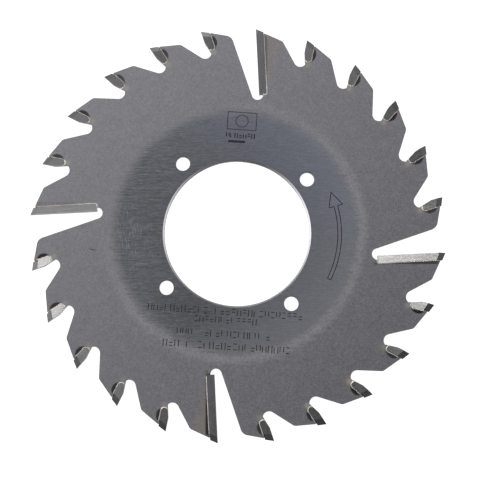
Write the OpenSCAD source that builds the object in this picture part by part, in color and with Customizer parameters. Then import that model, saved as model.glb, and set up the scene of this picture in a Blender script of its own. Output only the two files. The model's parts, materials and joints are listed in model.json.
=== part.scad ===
// Trimming saw disc: a steel plate with 20 brazed carbide tips and 4 long brazed wiper strips.
// The bore axis is +Z and points to the marked face. The origin is the centre of the bore, halfway
// through the plate. Slot 0 is on +X and holds a wiper strip. Slots and angles count
// counter-clockwise, which is also the way that the disc turns.

/* [Disc] */
// Diameter of the circle that the cutting edges reach
cut_d = 130; // [126:0.5:136]
// Diameter of the bore
bore_d = 45; // [40:0.5:47]
// Width of the chamfer at both mouths of the bore
bore_chamfer = 0.5; // [0.2:0.05:0.8]
// Thickness of the plate in the toothed zone
plate_t = 2.5; // [2.2:0.1:2.6]
// Thickness of the hub, where the flanges clamp
hub_t = 2.7; // [2.6:0.05:2.9]
// Diameter of the flat hub
hub_d = 75; // [72:0.5:76]
// Width of the slope between the hub and the toothed zone
hub_slope = 2.5; // [1:0.25:3.5]

/* [Pin holes] */
// Number of pin holes around the bore
pin_holes = 4; // [2:1:8]
// Diameter of a pin hole
pin_d = 4.5; // [3:0.1:5]
// Diameter of the circle that the pin holes are on
pin_pcd = 55; // [53:0.5:56]
// Angle of the first pin hole
pin_angle = 42.5; // [42.5:0.5:60]
// Width of the chamfer at both mouths of a pin hole
pin_chamfer = 0.15; // [0.05:0.05:0.3]

/* [Teeth] */
// Number of tooth slots around the rim
slots = 24; // [20:4:24]
// Number of those slots that hold a wiper strip
wipers = 4; // [4]
// Width of cut, across the disc
kerf = 3.6; // [3.4:0.1:4]
// Angle between a cutting face and the radius to its edge
hook = 8; // [7:0.5:10]
// Angle that the top of a tip falls away behind its edge
top_clearance = 16; // [14:0.5:18]
// Angle of the top across the kerf, high at the back face of the disc
bevel = 31; // [20:1:33]
// Angle that a carbide narrows behind its edge, on each side
clearance_back = 3; // [2:0.25:4]

/* [Carbide tips] */
// Length of a tip from its edge to its inner end
tip_l = 6.95; // [6.8:0.05:7.2]
// Length of the cutting face, down to the knee
tip_face = 4.3; // [4:0.1:4.5]
// Thickness of a tip along its top
tip_t = 2.75; // [2.6:0.05:2.85]
// Angle between the back of a tip and the radius to its edge
tip_back = 8; // [7:0.5:9]
// Radius of the rounded inner end
tip_nose_r = 1; // [0.9:0.05:1.1]
// Angle that a tip narrows towards the bore, on each side
tip_taper = 1.5; // [1:0.1:1.5]

/* [Wiper strips] */
// Length of a strip along its cutting face
wiper_l = 21.2; // [20:0.2:22]
// Thickness of a strip
wiper_t = 2.3; // [2.1:0.05:2.4]
// Angle that a strip's edge stands behind the middle of its slot
wiper_lag = 0.4; // [0.3:0.1:0.7]
// Radius of the inner back corner of a strip
wiper_corner_r = 0.4; // [0.2:0.1:0.6]
// Angle that a strip narrows towards the bore, on each side
wiper_taper = 0.5; // [0.2:0.05:0.6]

/* [Brazing] */
// Thickness of the braze between carbide and plate
braze_t = 0.2; // [0.15:0.05:0.3]
// Height that the braze stands above each face of the plate
braze_proud = 0.08; // [0.02:0.02:0.12]

/* [Gullets] */
// Depth of a gullet below the cutting circle
gullet_depth = 9.4; // [9:0.1:10]
// Radius at the bottom of a gullet
gullet_r = 2; // [1.8:0.05:2.2]
// Distance of a gullet's centre from the middle of its slot, ahead of the tip
gullet_ahead = -0.25; // [-0.4:0.05:0]
// Depth of the deep gullet ahead of a wiper strip
deep_depth = 22.9; // [22.6:0.1:23.6]
// Radius at the bottom of a deep gullet
deep_r = 1.8; // [1.7:0.05:2]
// Distance of a deep gullet's centre from the middle of its slot, ahead of the strip
deep_ahead = -2.75; // [-2.9:0.05:-2.6]

/* [Tooth backs] */
// Depth of a tooth's back corner below the cutting circle
back_drop = 3.2; // [3:0.1:3.6]
// Angle of a tooth's back corner behind its edge
back_lag = 8.6; // [8:0.2:9]
// Radius of the back corner
back_r = 1.5; // [0.5:0.1:2]
// Radius of the back corner at the edge of a deep gullet
deep_back_r = 2.5; // [1:0.1:3]
// Slope of the steel land from the back corner up to the tip
land_slope = 20; // [18:0.5:22]

/* [Side relief] */
// Depth of the dish that is ground in the plate behind a tip
relief_depth = 0.65; // [0.4:0.05:0.7]
// Radius of that dish in the face of the plate
relief_r = 2.6; // [2.3:0.1:2.8]
// Distance of the dish's centre from the knee, towards the bore
relief_in = 0.4; // [0.2:0.1:0.6]
// Distance of the dish's centre from the knee, away from the cutting face
relief_behind = 1.5; // [1.3:0.1:1.7]
// Depth of the groove that is ground along a strip, at its outer end
groove_depth = 0.35; // [0.2:0.05:0.4]
// Radius of the grinding wheel's edge that leaves that groove
groove_r = 3.4; // [2:0.1:4]

/* [Turning arrow] */
// Radius of the middle of the arrow's shaft
arrow_r = 31.8; // [31.5:0.1:33]
// Angle of the arrow's tail
arrow_from = -21.6; // [-25:0.2:-10]
// Angle where the arrow's head starts
arrow_head_from = 20.2; // [10:0.2:22]
// Angle of the arrow's point
arrow_to = 28.4; // [25:0.2:32]
// Width of the shaft
arrow_shaft = 1.15; // [0.8:0.05:1.6]
// Width of the head
arrow_head = 4.4; // [3:0.1:5]
// Width of the engraved line
arrow_line = 0.24; // [0.15:0.01:0.3]
// Depth of the engraved line
arrow_depth = 0.06; // [0.02:0.01:0.1]

/* [Hidden] */
$fn = 96;
cut_r = cut_d / 2;
pitch = 360 / slots;
wiper_every = slots / wipers;
facet_angle = 9;                // turn of each facet along an arc of an outline
over = 1;                       // how far a cut runs past what it cuts
block = 60;                     // side of a block that cuts everything on one side of a plane

steel = "#77797d";
carbide = "#66696c";
braze = "#b9a878";

function is_wiper(slot) = slot % wiper_every == 0;
tip_slots = [for (s = [0 : slots - 1]) if (!is_wiper(s)) s];
wiper_slots = [for (s = [0 : slots - 1]) if (is_wiper(s)) s];

function two_digits(n) = str(n < 10 ? "0" : "", n);
function tip_name(i) = str("carbide_tip_", two_digits(i + 1));
function tip_braze_name(i) = str("tip_braze_", two_digits(i + 1));
function wiper_name(i) = str("wiper_strip_", i + 1);
function wiper_braze_name(i) = str("wiper_braze_", i + 1);

// ---- Geometry of outlines ----

function polar(r, a) = r * [cos(a), sin(a)];
function angle_of(v) = atan2(v.y, v.x);
function unit(v) = v / norm(v);
function turned(p, a) = [p.x * cos(a) - p.y * sin(a), p.x * sin(a) + p.y * cos(a)];
function all_turned(points, a) = [for (p = points) turned(p, a)];

// Where the line through p along u meets the line through q along v
function crossing(p, u, q, v) = p + u * cross(q - p, v) / cross(u, v);

// The point further along u where the line through p meets the circle about c
function circle_crossing(p, u, c, r) =
    let (along = (c - p) * u, off = norm(p + along * u - c))
    p + u * (along + sqrt(r * r - off * off));

// Points of an arc, both ends included
function arc(c, r, from, to) =
    let (steps = max(2, ceil(abs(to - from) / facet_angle)))
    [for (i = [0 : steps]) c + polar(r, from + (to - from) * i / steps)];

// Angle, about c, where a line from p touches the circle on its counter-clockwise side
function touch_angle(p, c, r) = angle_of(p - c) + acos(r / norm(p - c));

// The corner at p, between the points before and after it, rounded to radius r
function rounded(before, p, after, r) =
    let (
        u = unit(before - p),
        v = unit(after - p),
        half = acos(u * v) / 2,
        c = p + unit(u + v) * r / sin(half),
        start = angle_of(p + u * r / tan(half) - c),
        turn = sign(cross(p - before, after - p)) * (180 - 2 * half)
    )
    arc(c, r, start, start + turn);

// ---- Carbide tip: side outline, with X along the radius through the cutting edge ----

edge = [cut_r, 0];
top_line = -polar(1, 90 - top_clearance);
face_line = -polar(1, hook);
back_line = polar(1, tip_back);
from_back = polar(1, tip_back + 90);            // from a tip's back towards its face

tip_knee = edge + face_line * tip_face;
tip_top_back = edge + top_line * tip_t;
tip_nose = let (p = tip_top_back + from_back * tip_nose_r)
    p - back_line * (p.x - (cut_r - tip_l + tip_nose_r)) / cos(tip_back);
tip_nose_from = tip_back - 90;
tip_nose_to = touch_angle(tip_knee, tip_nose, tip_nose_r) - 360;
tip_outline = concat(
    [edge, tip_knee],
    arc(tip_nose, tip_nose_r, tip_nose_to, tip_nose_from),
    [tip_top_back]
);

// ---- Wiper strip: the same, with X along the radius through the strip's edge ----

strip_in = face_line;
strip_across = polar(1, hook - 90);             // from a strip's face to its back
wiper_inner_front = edge + strip_in * wiper_l;
wiper_inner_back = wiper_inner_front + strip_across * wiper_t;
wiper_top_back = crossing(edge, top_line, wiper_inner_back, strip_in);
wiper_outline = concat(
    [edge, wiper_inner_front],
    rounded(wiper_inner_front, wiper_inner_back, wiper_top_back, wiper_corner_r),
    [wiper_top_back]
);

// ---- Plate outline around one slot ----

back_corner = polar(cut_r - back_drop, -back_lag);
next_back_corner = polar(cut_r - back_drop, pitch - back_lag);
land_line = polar(1, 90 - land_slope);

// Seat of a tip, from the land down the back and round the nose to the lip at the front
seat_r = tip_nose_r + braze_t;
seat_top = crossing(back_corner, land_line, tip_top_back - from_back * braze_t, back_line);
seat_lip_angle = tip_nose_to + acos(tip_nose_r / seat_r);
tip_seat = concat([seat_top], arc(tip_nose, seat_r, tip_nose_from, seat_lip_angle));

gullet_c = [cut_r - gullet_depth + gullet_r, gullet_ahead];
lower_face_line = polar(1, tip_nose_to + 90);
gullet_lip = circle_crossing(tip_nose + polar(tip_nose_r, tip_nose_to), lower_face_line,
    gullet_c, gullet_r);
gullet = arc(gullet_c, gullet_r, angle_of(gullet_lip - gullet_c),
    touch_angle(next_back_corner, gullet_c, gullet_r) - 360);

// Seat of a strip, from the land down the back and across the inner end to the gullet
strip_frame = -wiper_lag;
deep_c = [cut_r - deep_depth + deep_r, deep_ahead];
deep_c_strip = turned(deep_c, wiper_lag);
seat_inner_front = wiper_inner_front + strip_in * braze_t;
seat_inner_back = wiper_inner_back + (strip_in + strip_across) * braze_t;
strip_seat_top = crossing(turned(back_corner, wiper_lag), turned(land_line, wiper_lag),
    seat_inner_back, strip_in);
strip_lip = circle_crossing(seat_inner_front, strip_across, deep_c_strip, deep_r);
strip_seat = concat(
    [strip_seat_top],
    rounded(strip_seat_top, seat_inner_back, strip_lip, wiper_corner_r + braze_t),
    [strip_lip]
);
deep_gullet = arc(deep_c, deep_r, angle_of(turned(strip_lip, strip_frame) - deep_c),
    touch_angle(next_back_corner, deep_c, deep_r) - 360);

function seat(slot) = is_wiper(slot) ? all_turned(strip_seat, strip_frame) : tip_seat;
function slot_gullet(slot) = is_wiper(slot) ? deep_gullet : gullet;
function last(points) = points[len(points) - 1];

// The gullet of the slot before ends where its line to this slot's back corner starts
function slot_outline(slot) =
    let (
        deep = is_wiper(slot + slots - 1),
        before = turned(last(deep ? deep_gullet : gullet), -pitch),
        corner = rounded(before, back_corner, seat(slot)[0], deep ? deep_back_r : back_r)
    )
    concat(corner, seat(slot), slot_gullet(slot));

plate_outline = [for (s = [0 : slots - 1]) each all_turned(slot_outline(s), s * pitch)];

// ---- Pieces ----

module both_faces() {
    children();
    mirror([0, 0, 1]) children();
}

// Hole of diameter d through the hub, with a chamfer of width c at both mouths
module chamfered_hole(d, c) {
    cylinder(h = hub_t + 2 * over, d = d, center = true);
    both_faces()
        translate([0, 0, hub_t / 2 - c])
            cylinder(h = c + over, r1 = d / 2, r2 = d / 2 + c + over);
}

// Everything beyond the faces of the plate, which slope from the hub to the toothed zone
module outside_faces() {
    step = (hub_t - plate_t) / 2;
    both_faces()
        rotate_extrude()
            polygon([
                [hub_d / 2 - hub_slope, hub_t / 2 + step],
                [hub_d / 2 + hub_slope, plate_t / 2],
                [cut_d, plate_t / 2],
                [cut_d, hub_t],
                [hub_d / 2 - hub_slope, hub_t]
            ]);
}

// Dish that is ground in the face of the plate behind a tip
module tip_relief() {
    ball_r = (relief_r * relief_r + relief_depth * relief_depth) / (2 * relief_depth);
    ball_z = plate_t / 2 - relief_depth + ball_r;
    translate([tip_knee.x - relief_in, tip_knee.y - relief_behind, ball_z])
        sphere(r = ball_r);
}

// Groove that a grinding wheel leaves along the back of a strip, running out at its inner end
module strip_relief() {
    run_out = atan(groove_depth / wiper_l);
    translate([wiper_top_back.x, wiper_top_back.y, plate_t / 2 + groove_r - groove_depth])
        rotate([0, 0, hook])
            rotate([0, run_out, 0])
                rotate([0, -90, 0])
                    translate([0, 0, -over])
                        cylinder(h = wiper_l + over, r = groove_r);
}

// One straight engraved line between two points of the hub
module scribed(from, to) {
    run = to - from;
    translate([from.x, from.y, hub_t / 2 - arrow_depth])
        rotate([0, 0, angle_of(run)])
            translate([0, -arrow_line / 2, 0])
                cube([norm(run), arrow_line, arrow_depth + over]);
}

// Outlined arrow that shows which way the disc turns
module turning_arrow() {
    for (side = [-1, 1])
        rotate([0, 0, arrow_from])
            rotate_extrude(angle = arrow_head_from - arrow_from)
                translate([arrow_r + side * arrow_shaft / 2 - arrow_line / 2,
                    hub_t / 2 - arrow_depth])
                    square([arrow_line, arrow_depth + over]);
    point = polar(arrow_r, arrow_to);
    for (side = [-1, 1]) {
        barb = polar(arrow_r + side * arrow_head / 2, arrow_head_from);
        scribed(barb, point);
        scribed(polar(arrow_r + side * arrow_shaft / 2, arrow_head_from), barb);
    }
    scribed(polar(arrow_r - arrow_shaft / 2, arrow_from), polar(arrow_r + arrow_shaft / 2, arrow_from));
}

module blade_body() {
    color(steel)
        difference() {
            linear_extrude(hub_t, center = true) polygon(plate_outline);
            outside_faces();
            chamfered_hole(bore_d, bore_chamfer);
            for (i = [0 : pin_holes - 1])
                rotate([0, 0, pin_angle + i * 360 / pin_holes])
                    translate([pin_pcd / 2, 0, 0])
                        chamfered_hole(pin_d, pin_chamfer);
            for (s = tip_slots)
                rotate([0, 0, s * pitch])
                    both_faces() tip_relief();
            for (s = wiper_slots)
                rotate([0, 0, s * pitch - wiper_lag])
                    both_faces() strip_relief();
            turning_arrow();
        }
}

// Everything beyond the ground side of a carbide, which is this high at the cutting circle
module beyond_side(height, taper) {
    translate([cut_r, 0, height])
        rotate([clearance_back, -taper, 0])
            translate([-block / 2, -block / 2, 0])
                cube(block);
}

// Carbide of the given side outline, ground on its sides and top to clear the cut. The bevel brings
// the front end of the edge nearer to the bore, and both ends reach the full kerf.
module ground_carbide(outline, taper) {
    edge_run = kerf * tan(bevel) / cos(hook + top_clearance);
    front_lift = edge_run * (cos(hook) * tan(taper) + sin(hook) * tan(clearance_back));
    difference() {
        linear_extrude(kerf + 2 * over, center = true) polygon(outline);
        beyond_side(kerf / 2 + front_lift, taper);
        mirror([0, 0, 1]) beyond_side(kerf / 2, taper);
        translate([cut_r, 0, -kerf / 2])
            rotate([0, 0, -top_clearance])
                rotate([0, -bevel, 0])
                    translate([0, -block / 2, -block / 2])
                        cube(block);
    }
}

module carbide_tip(i) {
    color(carbide)
        rotate([0, 0, tip_slots[i] * pitch])
            ground_carbide(tip_outline, tip_taper);
}

module wiper_strip(i) {
    color(carbide)
        rotate([0, 0, wiper_slots[i] * pitch - wiper_lag])
            ground_carbide(wiper_outline, wiper_taper);
}

// Braze that fills the gap between the carbide and the seat in the plate
module tip_braze(i) {
    inner_top = seat_top + from_back * braze_t;
    color(braze)
        rotate([0, 0, tip_slots[i] * pitch])
            linear_extrude(plate_t + 2 * braze_proud, center = true)
                polygon(concat(
                    tip_seat,
                    arc(tip_nose, tip_nose_r, tip_nose_to, tip_nose_from),
                    [inner_top]
                ));
}

module wiper_braze(i) {
    inner_lip = strip_lip - strip_in * braze_t;
    inner_top = strip_seat_top - strip_across * braze_t;
    color(braze)
        rotate([0, 0, wiper_slots[i] * pitch - wiper_lag])
            linear_extrude(plate_t + 2 * braze_proud, center = true)
                polygon(concat(
                    strip_seat,
                    [inner_lip],
                    rounded(inner_lip, wiper_inner_back, inner_top, wiper_corner_r),
                    [inner_top]
                ));
}

// ---- Nodes ----

blade_body();
for (i = [0 : len(tip_slots) - 1]) {
    carbide_tip(i);
    tip_braze(i);
}
for (i = [0 : len(wiper_slots) - 1]) {
    wiper_strip(i);
    wiper_braze(i);
}
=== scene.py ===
"""Looks of a carbide-tipped trimming saw disc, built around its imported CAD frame.

The disc lies flat with its marked face up. Lengths are in metres, unless a comment gives them in mm.
Inside the disc's materials all lengths are in mm, and angles around the disc start at +X.
"""

import json
import math
import random

import bmesh
import bpy
from mathutils import Matrix, Vector
from mathutils.bvhtree import BVHTree


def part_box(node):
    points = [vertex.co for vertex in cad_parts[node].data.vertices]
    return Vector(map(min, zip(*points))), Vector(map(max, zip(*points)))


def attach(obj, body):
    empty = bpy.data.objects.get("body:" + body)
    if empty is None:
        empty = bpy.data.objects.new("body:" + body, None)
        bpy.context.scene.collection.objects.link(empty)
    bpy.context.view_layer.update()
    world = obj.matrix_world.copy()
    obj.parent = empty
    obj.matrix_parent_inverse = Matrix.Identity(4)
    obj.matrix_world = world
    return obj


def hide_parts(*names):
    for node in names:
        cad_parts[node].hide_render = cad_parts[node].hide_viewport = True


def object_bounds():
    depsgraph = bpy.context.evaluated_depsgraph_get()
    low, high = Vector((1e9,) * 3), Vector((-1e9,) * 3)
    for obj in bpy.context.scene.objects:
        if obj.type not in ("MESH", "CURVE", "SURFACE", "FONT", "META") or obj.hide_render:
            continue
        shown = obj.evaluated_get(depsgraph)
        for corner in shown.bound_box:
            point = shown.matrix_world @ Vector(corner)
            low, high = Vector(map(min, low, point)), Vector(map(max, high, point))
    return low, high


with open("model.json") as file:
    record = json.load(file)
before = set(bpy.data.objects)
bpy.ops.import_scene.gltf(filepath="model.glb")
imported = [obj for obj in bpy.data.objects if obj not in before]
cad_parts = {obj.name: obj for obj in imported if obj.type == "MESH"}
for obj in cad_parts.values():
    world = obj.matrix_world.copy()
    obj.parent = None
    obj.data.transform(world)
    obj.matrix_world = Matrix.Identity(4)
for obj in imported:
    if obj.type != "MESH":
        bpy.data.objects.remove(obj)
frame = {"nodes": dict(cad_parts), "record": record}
bpy.context.view_layer.update()
cad_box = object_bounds()

MM = 0.001
nodes = frame["nodes"]
mounts = {mount["name"]: mount for mount in frame["record"]["mounts"]}

TIPS = sorted(name for name in nodes if name.startswith("carbide_tip_"))
STRIPS = sorted(name for name in nodes if name.startswith("wiper_strip_"))
SLOTS = len(TIPS) + len(STRIPS)
CUT_R = round(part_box(STRIPS[0])[1].length / MM)         # radius of the cutting circle, mm
BORE_R = mounts["bore"]["dims"]["r_mm"]
HUB_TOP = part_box("blade_body")[1].z / MM                # height of the hub's face, mm
BRUSH_TURN = math.radians(4.8)                          # brush lines of the hub, from +X
ABOVE = Vector((0, 0, 1))                               # well over the disc, and straight up
DOWN = Vector((0, 0, -1))


# ---- Small tools for meshes ----

def tree_of(name):
    """Search tree of one CAD node's surface."""
    mesh = nodes[name].data
    points = [v.co.copy() for v in mesh.vertices]
    return BVHTree.FromPolygons(points, [tuple(p.vertices) for p in mesh.polygons])


BODY_TREE = tree_of("blade_body")


def face_height(x, y):
    """Height of the plate's marked face over a point, in metres, or None over a hole."""
    hit = BODY_TREE.ray_cast(Vector((x, y, 0)) + ABOVE, DOWN)
    return hit[0].z if hit[0] and hit[0].z > 0 else None


BETWEEN = 0.5 * CUT_R * MM                              # X and Y of a point in the toothed zone
TOOTH_TOP = face_height(BETWEEN, BETWEEN) / MM          # height of the face there, mm


def new_piece(name, mesh, material):
    """A finished mesh as a piece that rides on the disc."""
    piece = bpy.data.objects.new(name, mesh)
    bpy.context.scene.collection.objects.link(piece)
    mesh.materials.append(material)
    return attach(piece, "root")


# ---- Node graphs ----

class Value:
    """An output in a node graph, which can take part in sums."""

    def __init__(self, graph, socket):
        self.graph = graph
        self.socket = socket

    def __add__(self, other):
        return self.graph.math("ADD", self, other)

    def __sub__(self, other):
        return self.graph.math("SUBTRACT", self, other)

    def __mul__(self, other):
        return self.graph.math("MULTIPLY", self, other)

    def __truediv__(self, other):
        return self.graph.math("DIVIDE", self, other)


class Graph:
    """Builds a node tree with one short call for each node."""

    def __init__(self, tree):
        self.tree = tree
        tree.nodes.clear()

    def put(self, socket, value):
        """Feed a socket with another node's output, or with a plain value."""
        if isinstance(value, Value):
            self.tree.links.new(value.socket, socket)
        elif socket.type == "VECTOR":
            socket.default_value = value[:3]
        else:
            socket.default_value = value

    def node(self, kind, inputs=(), output=0, **settings):
        """Add a node with its inputs and settings, and give one of its outputs."""
        made = self.tree.nodes.new(kind)
        for key, value in settings.items():
            setattr(made, key, value)
        for key, value in dict(inputs).items():
            self.put(made.inputs[key], value)
        return Value(self, made.outputs[output]) if made.outputs else None

    def math(self, operation, a, b=0.0):
        """One step of arithmetic."""
        return self.node("ShaderNodeMath", {0: a, 1: b}, operation=operation)

    def above_zero(self, value):
        """The value where it is positive, and 0 elsewhere."""
        return self.math("MAXIMUM", value, 0.0)

    def vector(self, x, y, z=0.0):
        """A vector from its three parts."""
        return self.node("ShaderNodeCombineXYZ", {0: x, 1: y, 2: z})

    def ramp(self, value, low, high):
        """0 below low, 1 above high and smooth between them. High may be the lower one."""
        return self.node("ShaderNodeMapRange", {"Value": value, "From Min": low, "From Max": high},
                         interpolation_type="SMOOTHSTEP")

    def near(self, value, centre, reach):
        """1 at the centre, falling smoothly to 0 at a distance of reach."""
        return self.ramp(self.math("ABSOLUTE", value - centre), reach, 0.0)

    def mix(self, factor, a, b):
        """A colour that goes from a to b as the factor goes from 0 to 1."""
        return self.node("ShaderNodeMix", {0: factor, 6: a, 7: b}, output=2, data_type="RGBA")

    def blend(self, factor, a, b):
        """A number that goes from a to b as the factor goes from 0 to 1."""
        return self.node("ShaderNodeMix", {0: factor, 2: a, 3: b}, data_type="FLOAT")

    def tint(self, colour, factor):
        """A colour times a number."""
        return self.node("ShaderNodeVectorMath", {0: colour, "Scale": factor}, operation="SCALE")

    def noise(self, vector, detail=2.0, roughness=0.5):
        """Noise of about one bump per unit of the vector, around 0.5."""
        return self.node("ShaderNodeTexNoise", {"Vector": vector, "Scale": 1.0, "Detail": detail,
                                                "Roughness": roughness})

    def bump(self, height, distance, strength=1.0):
        """A normal that follows a height of 0 to 1 over a distance in metres."""
        return self.node("ShaderNodeBump", {"Height": height, "Distance": distance,
                                            "Strength": strength})

    def split(self, vector):
        """The three parts of a vector."""
        made = self.tree.nodes.new("ShaderNodeSeparateXYZ")
        self.put(made.inputs[0], vector)
        return [Value(self, made.outputs[i]) for i in range(3)]


def rgb(red, green, blue):
    """A colour from its 8-bit screen values."""
    def linear(c):
        """The sRGB curve, from screen value to light."""
        c /= 255
        return c / 12.92 if c <= 0.04045 else ((c + 0.055) / 1.055) ** 2.4
    return (linear(red), linear(green), linear(blue), 1.0)


class DiscGraph(Graph):
    """Graph of a material, with the coordinates that the disc's materials share, in mm."""

    def __init__(self, name):
        self.material = bpy.data.materials.new(name)
        self.material.use_nodes = True
        super().__init__(self.material.node_tree)
        place = self.node("ShaderNodeTexCoord", output="Object")
        self.x, self.y, self.z = [part / MM for part in self.split(place)]
        self.r = self.math("SQRT", self.x * self.x + self.y * self.y)
        self.angle = self.math("ARCTAN2", self.y, self.x) * math.degrees(1)
        self.painted_light_side = (self.y - self.x) * 0.0027    # painted light: lighter towards the upper left
        normal = self.node("ShaderNodeNewGeometry", output="True Normal")
        self.facing = self.math("ABSOLUTE", self.split(normal)[2])

    def slot_frame(self, slots):
        """Slot number, and mm along and across the radius through the middle of the nearest slot."""
        pitch = 360 / slots
        number = self.math("ROUND", self.angle / pitch)
        local = (self.angle - number * pitch) * math.radians(1)
        return number, self.r * self.math("COSINE", local), self.r * self.math("SINE", local)

    def chance(self, number, seed):
        """A fixed random number from 0 to 1 for each whole number."""
        return self.node("ShaderNodeTexWhiteNoise", {"W": number + seed}, noise_dimensions="1D")

    def finish(self, shader):
        """The material, with its surface."""
        self.node("ShaderNodeOutputMaterial", {"Surface": shader})
        return self.material

    def metal(self, colour, roughness, normal, anisotropic=0.0, tangent=None):
        """The finished material of a metal. It is brushed along the tangent."""
        inputs = {"Base Color": colour, "Metallic": 1.0, "Roughness": roughness,
                  "Anisotropic": anisotropic, "Normal": normal}
        if tangent:
            inputs["Tangent"] = tangent
        return self.finish(self.node("ShaderNodeBsdfPrincipled", inputs))


# ---- Materials, with lengths in mm ----

FACE_SHIFT = 31.7                       # sets the noise on the two faces apart
HUB_OUTER, HUB_INNER = 39.7, 35.0       # radii between which the hub's look fades in
HIGHLIGHT_RING_R = 39.6                           # radius of the painted highlight ring around the hub
ARROW_OUTER = 34.9                      # radius outside all engraved lines
ENGRAVED_FROM, ENGRAVED_TO = 0.015, 0.04    # depths between which an engraved line turns dark
SCRATCH = (-44.2, -8.7)                 # middle of the scratch, X and Y
STRIP_ZONE = 7.5                        # half width of the sector that belongs to a strip
GROOVE_INNER, GROOVE_OUTER = 41.0, 63.2     # radii that the dark ground hollows lie between
DISH_INNER = 57.2                       # distance of a dish's inner end from the axis
TIP_NOSE = (57.1, -3.0)                 # a tip's inner end, along and across its slot's radius
STRIP_LEAN, STRIP_BACK = 0.12, 10.86    # line along a strip's back: aside = out * lean - back
BARE = 1.0                              # width of the ring at the bore that is not engraved


def toothed_zone(g, side):
    """Colour of the toothed zone, with painted light that makes it lightest on the upper left, and
    its crossed grain and clouds.
    """
    flat_grain = g.noise(g.vector(g.x * 1.1, g.y * 3.6, side), detail=3.0, roughness=0.7)
    steep_grain = g.noise(g.vector(g.x * 3.6, g.y * 1.1, side + 9.0), detail=3.0, roughness=0.7)
    grain = (flat_grain + steep_grain) * 0.5
    cloud = g.noise(g.vector(g.x * 0.30, g.y * 0.30, side), detail=2.0)
    tone = (grain - 0.5) * 1.6 + (cloud - 0.5) * 0.16 + g.painted_light_side + 1.0
    return g.tint(rgb(157, 156, 162), tone), grain, cloud


def brushed_hub(g, side, grain):
    """Colour of the hub, with its fine and its broad brush lines.

    The lines are short and run along one direction, most strongly on the left. There is a
    cross-brushed patch there, and a shaded one on the lower left.
    """
    along = g.x * math.cos(BRUSH_TURN) + g.y * math.sin(BRUSH_TURN)
    across = g.y * math.cos(BRUSH_TURN) - g.x * math.sin(BRUSH_TURN)
    fine = g.noise(g.vector(along * 0.55, across * 5.0, side), detail=2.0, roughness=0.6)
    broad = g.noise(g.vector(along * 0.16, across * 2.4, side), detail=2.0)
    upright = g.noise(g.vector(along * 4.0, across * 0.4, side), detail=2.0)
    worn = g.ramp(along, 5.0, -30.0) * 0.7 + 0.5
    patch = g.near(along, -34.0, 12.0) * g.near(across, 0.0, 19.0)
    lines = g.ramp(fine, 0.58, 0.72) * worn * 0.25 + g.ramp(upright, 0.54, 0.68) * patch * 0.6
    shade = g.near(g.x, -12.0, 22.0) * g.near(g.y, -25.0, 15.0)
    tone = (fine * 0.9 + broad * 0.5 - 0.7) * worn + (grain - 0.5) * 0.8 + lines - shade * 0.22
    # Painted light makes the hub lighter towards the right. The hub also grows lighter outwards.
    tone = tone + g.x * 0.0045 + (g.r - 30.0) * 0.012 + 1.0
    bluish = g.ramp(g.x * 0.5 + g.y * 0.87, 8.0, 30.0)
    return g.tint(g.mix(bluish, rgb(135, 136, 143), rgb(133, 137, 148)), tone), fine, broad


def hub_edge(g, broad):
    """Share of the hub's look, and a painted highlight ring around it, brightest on the lower right.

    The edge lies a little off the middle and is frayed by the brush lines.
    """
    edge_x, edge_y = g.x + 0.9, g.y - 0.6
    edge = g.math("SQRT", edge_x * edge_x + edge_y * edge_y) + (broad - 0.5) * 3.5
    in_hub = g.ramp(edge, HUB_OUTER, HUB_INNER)
    # Painted highlight ring, brighter towards the lower right
    ring = g.near(edge, HIGHLIGHT_RING_R, 2.6) * ((g.x - g.y) * 0.0036 + 0.19)
    return in_hub, ring


def with_lines(g, colour, height):
    """Scratch on the marked face's toothed zone, and the arrow's engraved line, burnt dark."""
    from_middle = g.x - SCRATCH[0]
    scratch = g.near(from_middle, 0.0, 1.7) * g.near(g.y - SCRATCH[1] + from_middle * 0.20, 0.0, 0.28)
    colour = g.mix(scratch * 0.8 * g.ramp(g.z, 0.0, 0.1), colour, rgb(60, 60, 62))
    engraved = g.ramp(height, HUB_TOP - ENGRAVED_FROM, HUB_TOP - ENGRAVED_TO)
    engraved = engraved * g.ramp(g.r, ARROW_OUTER, ARROW_OUTER - 0.2) * g.ramp(g.facing, 0.8, 0.9)
    engraved = engraved * g.ramp(g.r, BORE_R + BARE, BORE_R + BARE + 0.2)
    return g.mix(engraved, colour, rgb(52, 50, 52))


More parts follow.
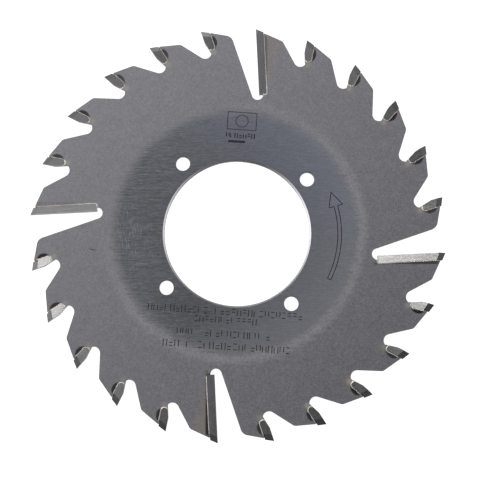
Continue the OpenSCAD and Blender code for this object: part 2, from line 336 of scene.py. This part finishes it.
def with_brazing_marks(g, colour, height, grain, cloud):
    """What grinding and brazing left: dark hollows, partly painted shade, tints beside strips, film
    around tips' ends. Also painted shadow beside the right strip, and a darker edge beside the bottom
    one.
    """
    number, out, aside = g.slot_frame(SLOTS)
    _, strip_out, strip_aside = g.slot_frame(len(STRIPS))
    by_strip = g.ramp(g.math("ABSOLUTE", strip_aside), STRIP_ZONE, STRIP_ZONE - 0.5)
    by_tip = g.ramp(by_strip, 1.0, 0.0)
    vertical = g.math("ABSOLUTE", g.y / g.r)
    rightmost = g.above_zero(g.x / g.r)
    lowest = g.above_zero(g.y / g.r * -1.0)

    # Dishes behind the tips and grooves behind the strips: partly steel left dark by grinding, partly
    # painted shade in the hollows
    # Painted shade in the strips' grooves: strongest at the bottom, then on the right and at the top,
    # none on the left
    strip_painted_shade = vertical * 0.65 - g.y / g.r * 0.25 + rightmost * 0.6
    tip_dark = g.chance(number, 3.0) * 0.25 + 0.75
    depth = g.ramp(height + (grain - 0.5) * 0.12, TOOTH_TOP - 0.02, TOOTH_TOP - 0.15)
    sunk = depth * g.ramp(g.facing, 0.7, 0.85) * g.ramp(g.r, GROOVE_INNER, GROOVE_INNER + 1.0)
    sunk = sunk * g.ramp(g.r, GROOVE_OUTER, GROOVE_OUTER - 1.0)
    tip_sunk = sunk * g.ramp(out + (grain - 0.5) * 1.5, DISH_INNER, DISH_INNER + 0.9) * tip_dark
    # Colour of the dark hollows and of the painted shadow, with painted light towards the upper left
    dark = g.tint(rgb(68, 66, 64), g.painted_light_side * 1.8 + 1.0)
    colour = g.mix(g.blend(by_strip, tip_sunk, sunk * strip_painted_shade), colour, dark)

    # Painted shadow along the strip on the right, and a darker edge along the strip at the bottom
    beside = strip_out * STRIP_LEAN - strip_aside - STRIP_BACK
    strip_shadow_and_edge = g.near(beside, 0.0, 0.8) * g.ramp(strip_out, 42.4, 43.6) * by_strip
    colour = g.mix(strip_shadow_and_edge * (rightmost * 0.6 + lowest * 0.4), colour, dark)

    # Straw and reddish tints beside the strips at the top and at the bottom
    tinted = g.ramp(vertical, 0.8, 0.95)
    straw = g.near(beside, 1.4, 1.3) * g.ramp(strip_out, 43.0, 57.0) * g.ramp(sunk, 0.8, 0.0)
    blush = g.near(beside, 3.2, 2.9) * g.near(strip_out, 59.0, 5.0) * (cloud * 1.6 + grain - 0.6)
    colour = g.mix(straw * tinted * 0.50, colour, rgb(168, 160, 140))
    colour = g.mix(blush * tinted * 0.45, colour, rgb(188, 170, 156))

    # Heat tint and pale film around the inner end of each tip
    nose_out, nose_aside = out - TIP_NOSE[0], aside - TIP_NOSE[1]
    from_nose = g.math("SQRT", nose_out * nose_out + nose_aside * nose_aside)
    heat = g.ramp(from_nose, 2.8, 0.8) * g.chance(number, 5.0) * by_tip
    film = g.ramp(from_nose + (grain - 0.5) * 2.4, 1.3, 0.3) * by_tip
    colour = g.mix(heat * 0.22, colour, rgb(190, 180, 144))
    return g.mix(film * (g.chance(number, 6.0) * 0.4 + 0.22), colour, rgb(206, 202, 194))


def plate_steel():
    """Ground steel: matte toothed zone, brushed darker hub, bright turned chamfer of the bore."""
    g = DiscGraph("plate_steel")
    side = g.math("SIGN", g.z) * FACE_SHIFT
    height = g.math("ABSOLUTE", g.z)
    outer_colour, grain, cloud = toothed_zone(g, side)
    hub_colour, fine, broad = brushed_hub(g, side, grain)
    in_hub, ring = hub_edge(g, broad)
    # The hub's look, brightened by the painted highlight ring
    colour = g.tint(g.mix(in_hub, outer_colour, hub_colour), ring + 1.0)
    colour = with_lines(g, colour, height)
    colour = with_brazing_marks(g, colour, height, grain, cloud)

    turned = g.ramp(g.facing, 0.95, 0.88) * g.ramp(g.facing, 0.4, 0.5)
    turned = turned * g.ramp(g.r, BORE_R + BARE + 0.3, BORE_R + BARE)
    colour = g.mix(turned, colour, rgb(232, 230, 236))

    rough = g.blend(turned, g.blend(in_hub, 0.42, 0.34), 0.16)
    normal = g.bump(g.blend(in_hub, grain, fine + broad), 0.004 * MM, 0.6)
    tangent = g.vector(-math.sin(BRUSH_TURN), math.cos(BRUSH_TURN))
    return g.metal(colour, rough, normal, in_hub * 0.5, tangent)


def carbide():
    """Tungsten carbide, ground along the radius on its sides, each piece a little different, with
    painted light that makes each piece lighter or darker and all lighter towards the upper left.
    """
    g = DiscGraph("carbide")
    number, out, aside = g.slot_frame(SLOTS)
    lines = g.noise(g.vector(out * 0.25, aside * 4.5, g.z * 2.0 + number * 7.3), detail=1.0)
    blotch = g.noise(g.vector(out * 1.4, aside * 1.4, number * 3.1), detail=2.0)
    # Painted light: a seeded brightness for each piece, for how much light its sides catch
    painted_piece_light = g.chance(number, 27520.0) * 0.7 + 0.65
    tone = (lines - 0.5) * 0.5 + (blotch - 0.5) * 0.5 + painted_piece_light
    # Painted light, lighter towards the upper left
    colour = g.tint(rgb(122, 121, 124), tone + g.painted_light_side * 1.6 - g.x * 0.0018)
    normal = g.bump(lines, 0.002 * MM, 0.07)
    tangent = g.vector(g.y * -1.0, g.x)
    return g.metal(colour, (lines - 0.5) * 0.08 + 0.30, normal, 0.85, tangent)


def braze():
    """Silver braze: pale and rippled, with a straw tint where it was hottest."""
    g = DiscGraph("braze")
    ripple = g.noise(g.vector(g.x * 3.0, g.y * 3.0, g.z * 3.0), detail=3.0)
    patches = g.noise(g.vector(g.x * 0.7, g.y * 0.7, g.z), detail=2.0)
    colour = g.mix(g.ramp(patches, 0.42, 0.66), rgb(238, 235, 228), rgb(220, 211, 196))
    colour = g.tint(colour, (ripple - 0.5) * 0.6 + 1.0)

    # Along the strip on the left it is pinkish with a pale end, and the bottom strip's end is dark
    _, out, aside = g.slot_frame(len(STRIPS))
    by_strip = g.ramp(g.math("ABSOLUTE", aside), STRIP_ZONE, STRIP_ZONE - 0.5)
    end = by_strip * g.ramp(out, 45.0, 44.3)
    on_left = g.ramp(g.x / g.r, -0.9, -0.95)
    at_bottom = g.ramp(g.y / g.r, -0.9, -0.95)
    colour = g.mix(by_strip * on_left * 0.55, colour, rgb(214, 190, 180))
    colour = g.mix(end * on_left, colour, rgb(246, 240, 232))
    colour = g.mix(end * at_bottom, colour, rgb(84, 74, 68))
    normal = g.bump(ripple, 0.02 * MM, 0.5)
    return g.metal(colour, 0.36, normal)


def marking():
    """Laser marking: burnt, matte and dark."""
    g = DiscGraph("marking")
    wear = g.noise(g.vector(g.x * 3.0, g.y * 3.0, g.z), detail=2.0)
    colour = g.mix(g.ramp(wear, 0.35, 0.75), rgb(62, 62, 66), rgb(92, 92, 98))
    return g.metal(colour, 0.55, g.bump(wear, 0.01 * MM))


PLATE, CARBIDE, BRAZE, MARKING = plate_steel(), carbide(), braze(), marking()

for name, node in nodes.items():
    node.material_slots[0].material = PLATE if name == "blade_body" else CARBIDE

EDGE_BREAK = 0.04                                       # width of the carbides' broken edges, mm

for name in TIPS + STRIPS:
    edge = nodes[name].modifiers.new("ground_edges", "BEVEL")
    edge.width = EDGE_BREAK * MM
    edge.segments = 2
    edge.limit_method = "ANGLE"
    edge.angle_limit = math.radians(25)
    edge.harden_normals = True


# ---- Braze beads, with lengths in mm ----

SAME = 1e-6                             # points closer than this many metres are one point
TOUCHING = 0.1                          # a point this near the carbide lies on the seam's inner side
CROWN, CROWN_WAVE = 0.10, 0.05          # height of a bead above the plate's face
SPREAD_WAVE = 0.35                      # how much of its reach over the steel comes and goes
INTO_CARBIDE = 0.03                     # how far a bead reaches into the carbide
UNDER_SEAM, UNDER_RIM, UNDER_LIP = 0.3, 0.12, 0.01     # depths of a bead's underside in the steel
SHOULDER = 0.05                         # how far a bead stays below the carbide's side face


def face_outline(name):
    """Points around a CAD node's top face, in order, in metres."""
    work = bmesh.new()
    work.from_mesh(nodes[name].data)
    bmesh.ops.remove_doubles(work, verts=work.verts, dist=SAME)
    top = max(v.co.z for v in work.verts)
    flat = [f for f in work.faces if all(v.co.z > top - SAME for v in f.verts)]
    edges = [e for f in flat for e in f.edges if sum(n in flat for n in e.link_faces) == 1]
    after = {}
    for edge in edges:
        for v in edge.verts:
            after.setdefault(v, []).append(edge.other_vert(v))
    start = edges[0].verts[0]
    loop, here, before = [start], after[start][0], start
    while here is not start:
        loop.append(here)
        here, before = next(v for v in after[here] if v is not before), here
    points = [v.co.copy() for v in loop]
    work.free()
    return points


def resampled(points, count):
    """The same path with evenly spaced points."""
    steps = [(b - a).length for a, b in zip(points, points[1:])]
    total, out, i, passed = sum(steps), [], 0, 0.0
    for k in range(count):
        target = total * k / (count - 1)
        while i < len(steps) - 1 and passed + steps[i] < target:
            passed += steps[i]
            i += 1
        share = min(1.0, (target - passed) / steps[i])
        out.append(points[i].lerp(points[i + 1], share))
    return out


def two_sides(loop, carbide_tree):
    """The loop's points beside the carbide, and those beside the steel, both from the rim inwards."""
    low = -0.7 * TOOTH_TOP * MM                         # below the bevel, where the carbide is whole
    touches = [carbide_tree.find_nearest((p.x, p.y, low))[3] < TOUCHING * MM for p in loop]
    turn = next(i for i in range(len(loop)) if touches[i] and not touches[i - 1])
    loop = loop[turn:] + loop[:turn]
    touches = touches[turn:] + touches[:turn]
    count = sum(touches)
    sides = [loop[:count], loop[count:]]
    return [s if s[0].length > s[-1].length else s[::-1] for s in sides]


def wobble(rng, waves):
    """A smooth random curve over 0 to 1, mostly between -1 and 1."""
    terms = [(rng.uniform(0.5, waves), rng.uniform(0, math.tau), rng.uniform(0.3, 0.6))
             for _ in range(4)]
    return lambda t: sum(size * math.sin(math.tau * pace * t + phase) for pace, phase, size in terms)


def swept(work, rings):
    """Closed solid through rings of points, one face between each pair of neighbours."""
    rings = [[work.verts.new(p) for p in ring] for ring in rings]
    size = len(rings[0])
    for ring, ahead in zip(rings, rings[1:]):
        for i in range(size):
            work.faces.new((ring[i], ring[i - 1], ahead[i - 1], ahead[i]))
    work.faces.new(rings[0])
    work.faces.new(rings[-1][::-1])


def finished(work, name):
    """Mesh of a piece from its working mesh."""
    bmesh.ops.recalc_face_normals(work, faces=work.faces)
    mesh = bpy.data.meshes.new(name)
    work.to_mesh(mesh)
    work.free()
    return mesh


def bead_section(a, gap, outward, reach, rise, carbide_tree):
    """Half of a bead's outline, above the plate's middle plane, in metres.

    Each point is a distance from the carbide and a height. The point a is on the carbide's side of
    the seam, and the gap leads from there across the seam to the steel.
    """
    b = a + gap
    under = [face_height(*(b + outward * s).xy) for s in (0.05 * MM, reach)]
    under = [h if h is not None else TOOTH_TOP * MM for h in under]
    crown = TOOTH_TOP * MM + (CROWN + CROWN_WAVE * rise) * MM
    beside = carbide_tree.ray_cast(a - outward * 0.1 * MM + ABOVE, DOWN)
    if beside[0]:
        crown = min(crown, beside[0].z - SHOULDER * MM)
    over = gap.length
    return [
        (-INTO_CARBIDE * MM, crown),
        (over * 0.6, crown),
        (over + reach * 0.4, crown * 0.8 + under[0] * 0.2),
        (over + reach * 0.8, crown * 0.4 + under[1] * 0.6),
        (over + reach, under[1] - UNDER_LIP * MM),
        (over + reach * 0.9, under[1] - UNDER_RIM * MM),
        (over, under[0] - UNDER_SEAM * MM),
    ]


def bead(name, braze_name, carbide_name, stations, waves, spread, nose_spread, widens, seed):
    """Braze that fills the seam and stands up on both faces, uneven as it froze.

    It reaches spread mm over the steel. From the share widens of its path on, that grows to about
    nose_spread mm at its inner end.
    """
    rng = random.Random(seed)
    width, rise = wobble(rng, waves), wobble(rng, waves)
    nose_spread *= rng.uniform(0.7, 1.3)
    carbide_tree = tree_of(carbide_name)
    inner, outer = two_sides(face_outline(braze_name), carbide_tree)
    rings = []
    for k, (a, b) in enumerate(zip(resampled(inner, stations), resampled(outer, stations))):
        t = k / (stations - 1)
        gap = b - a
        gap.z = 0
        outward = gap.normalized()
        reach = spread + (nose_spread - spread) * max(0.0, (t - widens) / (1 - widens))
        reach *= MM * (1 + SPREAD_WAVE * width(t))
        half = bead_section(a, gap, outward, reach, rise(t), carbide_tree)
        whole = half + [(s, -z) for s, z in reversed(half)]
        rings.append([(a.x + outward.x * s, a.y + outward.y * s, z) for s, z in whole])
    work = bmesh.new()
    swept(work, rings)
    for face in work.faces:
        face.smooth = len(face.verts) == 4
    piece = new_piece(name, finished(work, name), BRAZE)
    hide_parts(braze_name)
    return piece


TIP_BEAD = {"stations": 36, "waves": 5, "spread": 0.14, "nose_spread": 0.42, "widens": 0.60}
STRIP_BEAD = {"stations": 90, "waves": 9, "spread": 0.06, "nose_spread": 0.34, "widens": 0.0}
TIP_SEED, STRIP_SEED = 100, 200

beads = []
for i, tip in enumerate(TIPS):
    suffix = tip.removeprefix("carbide_tip_")
    beads.append(bead(f"tip_bead_{suffix}", f"tip_braze_{suffix}", tip, **TIP_BEAD,
                      seed=TIP_SEED + i))
for i, strip in enumerate(STRIPS):
    suffix = strip.removeprefix("wiper_strip_")
    beads.append(bead(f"wiper_bead_{suffix}", f"wiper_braze_{suffix}", strip, **STRIP_BEAD,
                      seed=STRIP_SEED + i))


# ---- Laser marks, with lengths in mm ----

MARK_TURN = math.radians(0.8)           # the rows of marks, from +X
STROKE = 0.28                           # width of a mark's line in the rows below the bore
FIGURE_STROKE = 0.22                    # the same of the ring and the frame above the bore
BOLD_STROKE = 0.34                      # the same of the short row under them
BAR_STROKE = 0.75                       # width of the bar
MARK_TOP, MARK_ROOT = 0.012, 0.02       # how far a mark stands above the face and reaches under it
STEP = 0.6                              # distance between points on a straight mark
CELL, FILLED = 0.82, 0.62               # width of a mark's cell over its height, and share in use
BLANK, PAIR, SINGLE = 0.08, 0.52, 0.68  # a draw below these makes a blank, two uprights or one


def on_row(start, along, up):
    """Point in mm, along and above a row's start."""
    x = start[0] + along * math.cos(MARK_TURN) - up * math.sin(MARK_TURN)
    y = start[1] + along * math.sin(MARK_TURN) + up * math.cos(MARK_TURN)
    return Vector((x, y, 0))


def stroke(work, points, width=STROKE):
    """Thin line on the plate's face through points in mm."""
    length = sum((b - a).length for a, b in zip(points, points[1:]))
    path = resampled(points, max(2, round(length / STEP) + 1)) if len(points) == 2 else points
    rings = []
    for i, p in enumerate(path):
        ahead = path[min(i + 1, len(path) - 1)] - path[max(i - 1, 0)]
        half = Vector((-ahead.y, ahead.x, 0)).normalized() * width / 2
        sides = [(p + half) * MM, (p - half) * MM]
        heights = [face_height(*s.xy) for s in sides]
        top = [(s.x, s.y, h + MARK_TOP * MM) for s, h in zip(sides, heights)]
        low = [(s.x, s.y, h - MARK_ROOT * MM) for s, h in zip(sides, heights)]
        rings.append([top[0], top[1], low[1], low[0]])
    swept(work, rings)


def row_of_marks(work, start, length, height, seed, gap=(0, 0), width=STROKE):
    """Uprights and pairs of dashes that spell nothing, filling a row outside its gap."""
    rng = random.Random(seed)
    cell = height * CELL
    for k in range(int(length / cell)):
        left, right = k * cell, (k + FILLED) * cell
        kind = rng.random()
        if gap[0] < left < gap[1] or kind < BLANK:
            continue
        if kind < SINGLE:
            low, high = rng.choice([(0.0, 1.0), (0.0, 0.8), (0.2, 1.0)])
            for x in (left, right) if kind < PAIR else (left,):
                ends = [on_row(start, x, height * level) for level in (low, high)]
                stroke(work, ends, width)
        else:
            for level in rng.choice([(0.1, 0.9), (0.1, 0.5), (0.5, 0.9)]):
                ends = [on_row(start, x, height * level) for x in (left, right)]
                stroke(work, ends, width)


def rows_below():
    """Four rows of marks below the bore."""
    work = bmesh.new()
    row_of_marks(work, (-25.3, -25.8), length=49.0, height=2.1, seed=1)
    row_of_marks(work, (-10.8, -28.2), length=20.0, height=2.0, seed=2)
    row_of_marks(work, (-15.8, -32.6), length=29.4, height=2.1, seed=3)
    row_of_marks(work, (-19.8, -36.4), length=40.3, height=2.2, seed=4, gap=(8.0, 10.5))
    new_piece("mark_rows", finished(work, "mark_rows"), MARKING)


def figure_above():
    """Plain ring in a plain frame above the bore, over a row and a bar."""
    start, wide, high, ring_r = (-5.8, 32.3), 9.0, 5.4, 1.9
    bar_start, bar_length = (-5.1, 28.5), 5.2
    work = bmesh.new()
    corners = [on_row(start, x, y) for x, y in ((0, 0), (wide, 0), (wide, high), (0, high))]
    for a, b in zip(corners, corners[1:] + corners[:1]):
        stroke(work, [a, b], FIGURE_STROKE)
    turns = [math.tau * k / 32 for k in range(33)]
    ring = [on_row(start, wide / 2 + ring_r * math.cos(t), high / 2 + ring_r * math.sin(t))
            for t in turns]
    stroke(work, ring, FIGURE_STROKE)
    row_of_marks(work, (-5.8, 29.6), length=9.2, height=1.6, seed=12, width=BOLD_STROKE)
    stroke(work, [on_row(bar_start, 0, 0), on_row(bar_start, bar_length, 0)], BAR_STROKE)
    new_piece("mark_figure", finished(work, "mark_figure"), MARKING)


rows_below()
figure_above()


# ---- Stage ----

WHITE = (1.0, 1.0, 1.0, 1.0)
LAMP_COLOUR = (0.99, 1.0, 0.92)
FLOOR_HALF = 4.0                        # half width of the floor, metres
FLOOR_GAP = 0.05                        # distance of the floor under the disc, mm
FLOOR_GLOW, FLOOR_WHITE = 0.87, 0.8     # own light and colour of the floor as the camera sees it
# Brighter sectors of the floor, which the tips' bevels mirror: compass angle, edge and strength
BRIGHT_SECTORS = ((195, 0.78, 0.32), (105, 0.94, 0.50), (13, 0.87, 0.30))


def towards(x, y, degrees):
    """Part of a direction that points along a compass angle."""
    return x * math.cos(math.radians(degrees)) + y * math.sin(math.radians(degrees))


def floor_material():
    """White to the camera and clear from below. The metal sees it brighter in some sectors."""
    material = bpy.data.materials.new("floor")
    material.use_nodes = True
    g = Graph(material.node_tree)
    place = g.node("ShaderNodeTexCoord", output="Object")
    x, y, _ = g.split(g.node("ShaderNodeVectorMath", {0: place}, operation="NORMALIZE"))
    mirrored = towards(x, y, 135) * 0.05 + 0.31
    for degrees, edge, power in BRIGHT_SECTORS:
        mirrored = mirrored + g.ramp(towards(x, y, degrees), edge, 1.0) * power
    seen = g.node("ShaderNodeLightPath", output="Is Camera Ray")
    glow = g.node("ShaderNodeEmission", {"Color": WHITE,
                                         "Strength": g.blend(seen, mirrored, FLOOR_GLOW)})
    matte = g.node("ShaderNodeBsdfDiffuse", {"Color": g.tint(WHITE, seen * FLOOR_WHITE)})
    both = g.node("ShaderNodeAddShader", {0: glow, 1: matte})
    clear = g.node("ShaderNodeBsdfTransparent")
    behind = g.node("ShaderNodeNewGeometry", output="Backfacing")
    surface = g.node("ShaderNodeMixShader", {0: behind, 1: both, 2: clear})
    g.node("ShaderNodeOutputMaterial", {"Surface": surface})
    return material


def floor():
    """Pale floor under the disc, seen from above only."""
    mesh = bpy.data.meshes.new("floor")
    level = cad_box[0].z - FLOOR_GAP * MM
    corners = [(-1, -1), (1, -1), (1, 1), (-1, 1)]
    mesh.from_pydata([(x * FLOOR_HALF, y * FLOOR_HALF, level) for x, y in corners], [],
                     [(0, 1, 2, 3)])
    mesh.materials.append(floor_material())
    plane = bpy.data.objects.new("floor", mesh)
    bpy.context.scene.collection.objects.link(plane)


def surroundings():
    """Soft studio: white to the camera, and to the metal a grey ceiling between bright side walls.

    The far wall is one more bright band, low on the lower right.
    """
    world = bpy.data.worlds.new("studio")
    bpy.context.scene.world = world
    world.use_nodes = True
    g = Graph(world.node_tree)
    x, y, z = g.split(g.node("ShaderNodeTexCoord", output="Generated"))
    wall = g.ramp(z, 0.75, 0.1)
    to_side = g.math("ABSOLUTE", x)
    side_wall = to_side * to_side * (to_side - x * 0.24) - 0.38
    far_wall = g.near(z, 0.32, 0.27) * g.ramp(x - y, 0.2, 1.2)
    level = wall * side_wall + far_wall * 0.3 + (y - x) * 0.12 + 0.50
    level = g.math("MAXIMUM", level, 0.08)
    seen = g.node("ShaderNodeLightPath", output="Is Camera Ray")
    strength = g.blend(seen, level, 1.0)
    light = g.node("ShaderNodeBackground", {"Color": WHITE, "Strength": strength})
    g.node("ShaderNodeOutputWorld", {"Surface": light})


def softbox(name, place, size, power, lit):
    """Square area light that points at the disc and lights just some of its pieces."""
    lamp = bpy.data.lights.new(name, "AREA")
    lamp.shape = "SQUARE"
    lamp.size = size
    lamp.energy = power
    lamp.color = LAMP_COLOUR
    box = bpy.data.objects.new(name, lamp)
    box.location = place
    box.rotation_mode = "QUATERNION"
    box.rotation_quaternion = Vector(place).to_track_quat("Z", "Y")
    bpy.context.scene.collection.objects.link(box)
    group = bpy.data.collections.new(name + "_lit")
    for piece in lit:
        group.objects.link(piece)
    box.light_linking.receiver_collection = group


def camera():
    """Almost straight down on the marked face, from a little below and right of its middle."""
    distance, tilt_x, tilt_y, roll = 0.462, -4.40, -1.09, -4.84
    turn = (Matrix.Rotation(math.radians(tilt_x), 4, "X")
            @ Matrix.Rotation(math.radians(tilt_y), 4, "Y")
            @ Matrix.Rotation(math.radians(roll), 4, "Z"))
    lens = bpy.data.cameras.new("camera")
    lens.lens = 111.63
    lens.shift_x = 0.00636
    lens.shift_y = -0.01314
    made = bpy.data.objects.new("camera", lens)
    made.matrix_world = turn.inverted() @ Matrix.Translation((0, 0, distance))
    bpy.context.scene.collection.objects.link(made)
    bpy.context.scene.camera = made


floor()
surroundings()
softbox("glint", (0.134, -1.127, 2.228), 0.50, 68.0, [nodes[name] for name in TIPS + STRIPS])
softbox("sheen", (-0.9, 0.8, 2.2), 0.8, 6.0, beads)
camera()
bpy.context.scene.view_settings.view_transform = "Standard"

bpy.context.view_layer.update()
